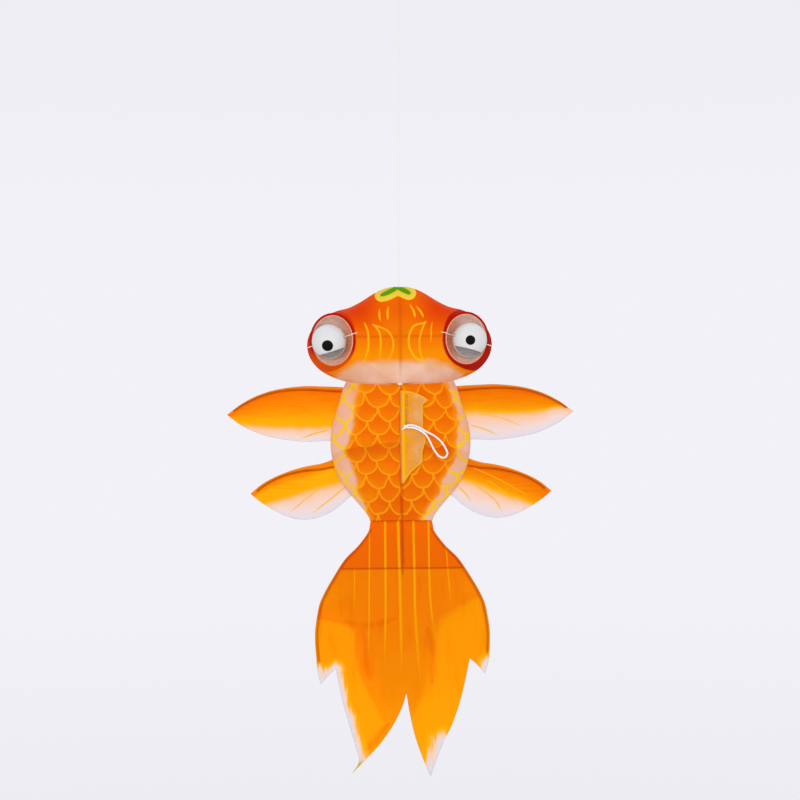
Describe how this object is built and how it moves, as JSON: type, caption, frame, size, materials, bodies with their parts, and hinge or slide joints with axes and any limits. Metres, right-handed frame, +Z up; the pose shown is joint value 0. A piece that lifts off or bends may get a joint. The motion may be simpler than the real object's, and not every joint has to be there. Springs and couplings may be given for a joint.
{
  "type": "goldfish kite",
  "caption": "Silk goldfish kite on a bamboo frame with spinning lantern eyes, side fins, dorsal fin, bridle loop and a long split tail, hung by a thread.",
  "frame": {"origin": "flat top end of the bamboo spine at the nose, where the hanging thread is tied", "axes": "+Z up along the spine towards the nose, -Y out of the painted back, +X to the right as seen from -Y"},
  "size_m": [0.398, 0.077, 0.607],
  "materials": {
    "bamboo": "split bamboo, plain",
    "head_silk": "thin silk, painted red-orange fading to peach",
    "scale_silk": "thin silk, painted orange with yellow scales",
    "pale_silk": "thin silk, pale peach",
    "socket_silk": "thin silk, pale pink",
    "fin_silk": "thin silk, orange fading to near white",
    "tail_silk": "thin silk, painted orange",
    "string": "twisted white thread and cord",
    "ball_white": "thin celluloid ball, satin white",
    "pupil_black": "black disc"
  },
  "bodies": {
    "fish_frame": {"spine": "bamboo", "head_back_silk": "head_silk", "head_belly_silk": "pale_silk", "left_head_rib": "bamboo", "right_head_rib": "bamboo", "head_cross_spar": "bamboo", "left_eye_hoop": "bamboo", "right_eye_hoop": "bamboo", "left_socket_silk": "socket_silk", "right_socket_silk": "socket_silk", "left_eye_string": "string", "right_eye_string": "string", "body_back_silk": "scale_silk", "body_belly_silk": "pale_silk", "left_body_rib": "bamboo", "right_body_rib": "bamboo", "belly_hoop": "bamboo", "nose_knot": "string"},
    "left_eye": {"left_eye_front_shell": "ball_white", "left_eye_rear_shell": "ball_white", "left_pupil": "pupil_black"},
    "right_eye": {"right_eye_front_shell": "ball_white", "right_eye_rear_shell": "ball_white", "right_pupil": "pupil_black"},
    "left_upper_fin": {"left_upper_fin_silk": "fin_silk", "left_upper_fin_spar": "bamboo"},
    "right_upper_fin": {"right_upper_fin_silk": "fin_silk", "right_upper_fin_spar": "bamboo"},
    "left_lower_fin": {"left_lower_fin_silk": "fin_silk", "left_lower_fin_spar": "bamboo"},
    "right_lower_fin": {"right_lower_fin_silk": "fin_silk", "right_lower_fin_spar": "bamboo"},
    "dorsal_fin": {"dorsal_fin_silk": "scale_silk"},
    "bridle": {"bridle_knot": "string", "bridle_loop": "string"},
    "tail": {"tail_silk": "tail_silk", "under_tail_silk": "tail_silk", "left_tail_rib": "bamboo", "right_tail_rib": "bamboo", "tail_stick": "bamboo", "tail_cross_bar": "bamboo", "tail_lashing": "string"},
    "tail_tips": {"tail_tip_silk": "tail_silk"},
    "hanging_thread": {"hanging_thread": "string"}
  },
  "joints": [
    {"name": "left_eye_spin", "type": "hinge", "parent": "fish_frame", "child": "left_eye", "pos_m": [-0.07982, -0.02561, -0.06156], "axis": [0.9093, -0.331, 0.2521], "continuous": true},
    {"name": "right_eye_spin", "type": "hinge", "parent": "fish_frame", "child": "right_eye", "pos_m": [0.07982, -0.02561, -0.06156], "axis": [0.9093, 0.331, -0.2521], "continuous": true},
    {"name": "left_upper_fin_flap", "type": "hinge", "parent": "fish_frame", "child": "left_upper_fin", "pos_m": [-0.0675, 0, -0.1135], "axis": [0.2518, 0, 0.9678], "range_deg": [-70, 70]},
    {"name": "right_upper_fin_flap", "type": "hinge", "parent": "fish_frame", "child": "right_upper_fin", "pos_m": [0.0675, 0, -0.1135], "axis": [0.2518, 0, -0.9678], "range_deg": [-70, 70]},
    {"name": "left_lower_fin_flap", "type": "hinge", "parent": "fish_frame", "child": "left_lower_fin", "pos_m": [-0.0815, 0, -0.198], "axis": [-0.4388, 0, 0.8986], "range_deg": [-70, 70]},
    {"name": "right_lower_fin_flap", "type": "hinge", "parent": "fish_frame", "child": "right_lower_fin", "pos_m": [0.0815, 0, -0.198], "axis": [-0.4388, 0, -0.8986], "range_deg": [-70, 70]},
    {"name": "dorsal_fin_fold", "type": "hinge", "parent": "fish_frame", "child": "dorsal_fin", "pos_m": [0.0023, -0.03, -0.17], "axis": [0, 0, -1], "range_deg": [0, 100]},
    {"name": "bridle_lift", "type": "hinge", "parent": "dorsal_fin", "child": "bridle", "pos_m": [0.00593, -0.03246, -0.1592], "axis": [-0.5606, -0.0887, -0.8233], "range_deg": [0, 90]},
    {"name": "tail_fold", "type": "hinge", "parent": "fish_frame", "child": "tail", "pos_m": [0, 0, -0.2695], "axis": [-1, 0, 0], "range_deg": [-80, 80]},
    {"name": "tail_tip_fold", "type": "hinge", "parent": "tail", "child": "tail_tips", "pos_m": [0, 0, -0.426], "axis": [-1, 0, 0], "range_deg": [-60, 60]},
    {"name": "thread_swing", "type": "hinge", "parent": "fish_frame", "child": "hanging_thread", "pos_m": [0, -0.00225, 0.0003], "axis": [1, 0, 0], "range_deg": [-45, 45]}
  ]
}
